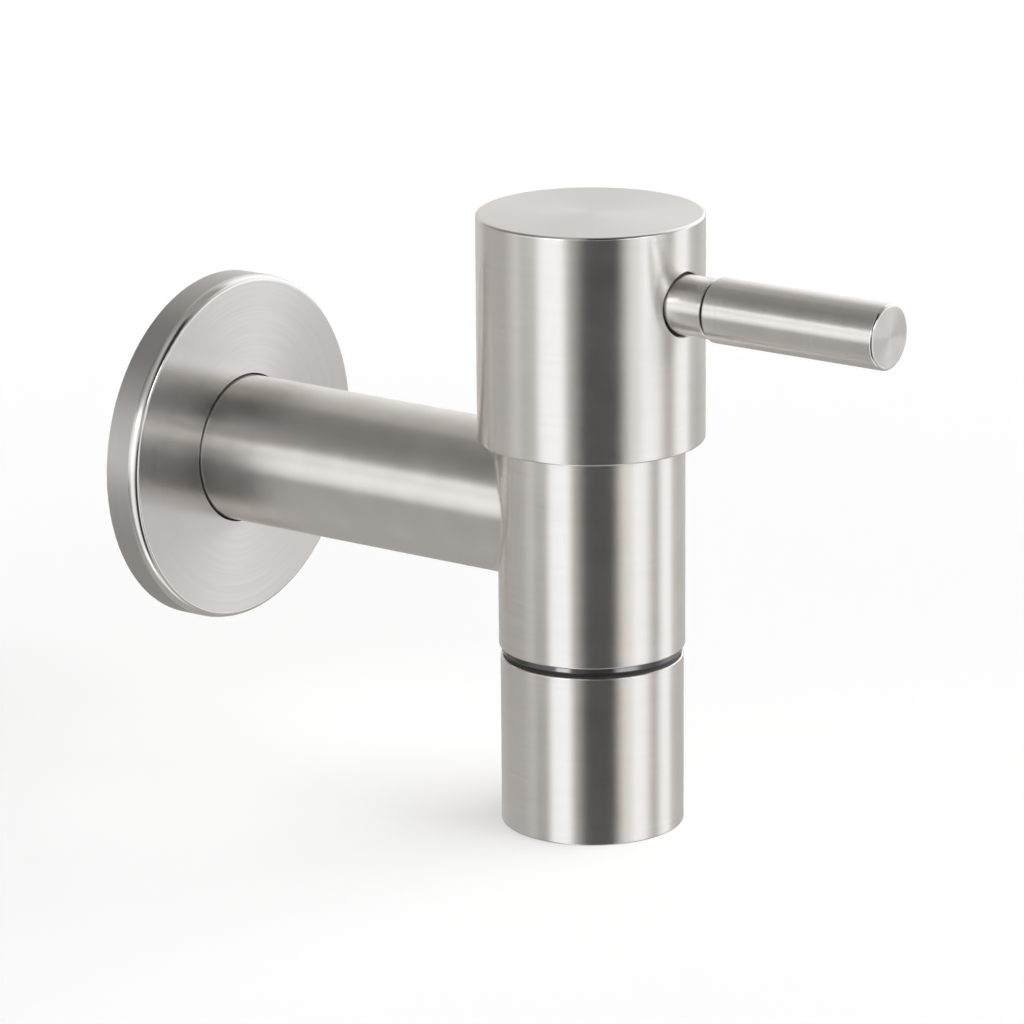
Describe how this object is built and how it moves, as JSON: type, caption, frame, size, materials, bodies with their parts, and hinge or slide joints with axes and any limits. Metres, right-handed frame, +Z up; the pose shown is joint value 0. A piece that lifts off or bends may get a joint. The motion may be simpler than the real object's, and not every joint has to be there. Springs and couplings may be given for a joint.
{
  "type": "wall-mounted tap",
  "caption": "Wall-mounted quarter-turn tap in brushed stainless steel with a round wall flange, straight arm, capped pin lever and short downward nozzle.",
  "frame": {"origin": "on the inlet axis where it crosses the wall plane, which is the back face of the wall flange and the start of the inlet thread", "axes": "+Y into the wall along the inlet thread, the tap reaches out along -Y, +Z up, +X to the right seen from the room"},
  "size_m": [0.058, 0.1454, 0.1005],
  "materials": {
    "body_steel": "brushed stainless steel, fine round brushing",
    "flange_steel": "brushed stainless steel, concentric turning marks on the face",
    "cap_steel": "brushed stainless steel, fine round brushing and a satin top",
    "lever_steel": "brushed stainless steel with a turned end",
    "nozzle_steel": "brushed stainless steel",
    "nipple_brass": "machined brass, threaded",
    "headwork_brass": "machined brass",
    "disc_ceramic": "lapped white alumina",
    "seal_rubber": "black sealing rubber",
    "bead_rubber": "glossy black sealing rubber",
    "slide_plastic": "white slippery plastic",
    "clip_steel": "bright stainless steel",
    "aerator_plastic": "light grey moulded plastic",
    "screen_steel": "woven stainless wire"
  },
  "bodies": {
    "body": {"tap_body": "body_steel", "inlet_nipple": "nipple_brass", "headwork_body": "headwork_brass", "headwork_o_ring": "seal_rubber", "ceramic_disc_lower": "disc_ceramic", "seat_seal": "seal_rubber", "thrust_washer": "slide_plastic", "cap_glide_ring": "slide_plastic", "nozzle_ring": "bead_rubber"},
    "handle": {"handle_cap": "cap_steel", "handle_hub": "headwork_brass", "hub_screw": "clip_steel", "lever_stud": "clip_steel", "lever_neck": "lever_steel", "lever_grip": "lever_steel", "spindle": "headwork_brass", "spindle_o_rings": "seal_rubber", "spindle_clip": "clip_steel", "ceramic_disc_upper": "disc_ceramic"},
    "flange": {"wall_flange": "flange_steel", "flange_o_ring": "seal_rubber"},
    "nozzle_thread": {"aerator_washer": "seal_rubber"},
    "nozzle": {"nozzle_sleeve": "nozzle_steel", "aerator_housing": "aerator_plastic", "aerator_jet_plate": "aerator_plastic", "aerator_screens": "screen_steel", "aerator_grid": "aerator_plastic"}
  },
  "joints": [
    {"name": "handle_turn", "type": "hinge", "parent": "body", "child": "handle", "pos_m": [0, -0.0766, 0], "axis": [0, 0, 1], "range_deg": [0, 90]},
    {"name": "flange_slide", "type": "slide", "parent": "body", "child": "flange", "axis": [0, -1, 0], "range_m": [0, 0.04]},
    {"name": "nozzle_drop", "type": "slide", "parent": "body", "child": "nozzle_thread", "axis": [0, 0, -1], "range_m": [0, 0.01205]},
    {"name": "nozzle_turn", "type": "hinge", "parent": "nozzle_thread", "child": "nozzle", "pos_m": [0, -0.0766, 0], "axis": [0, 0, -1], "range_deg": [0, 4320]}
  ],
  "couplings": [
    {"joint": "nozzle_drop", "follows": "nozzle_turn", "m_per_rad": 0.00015915}
  ]
}
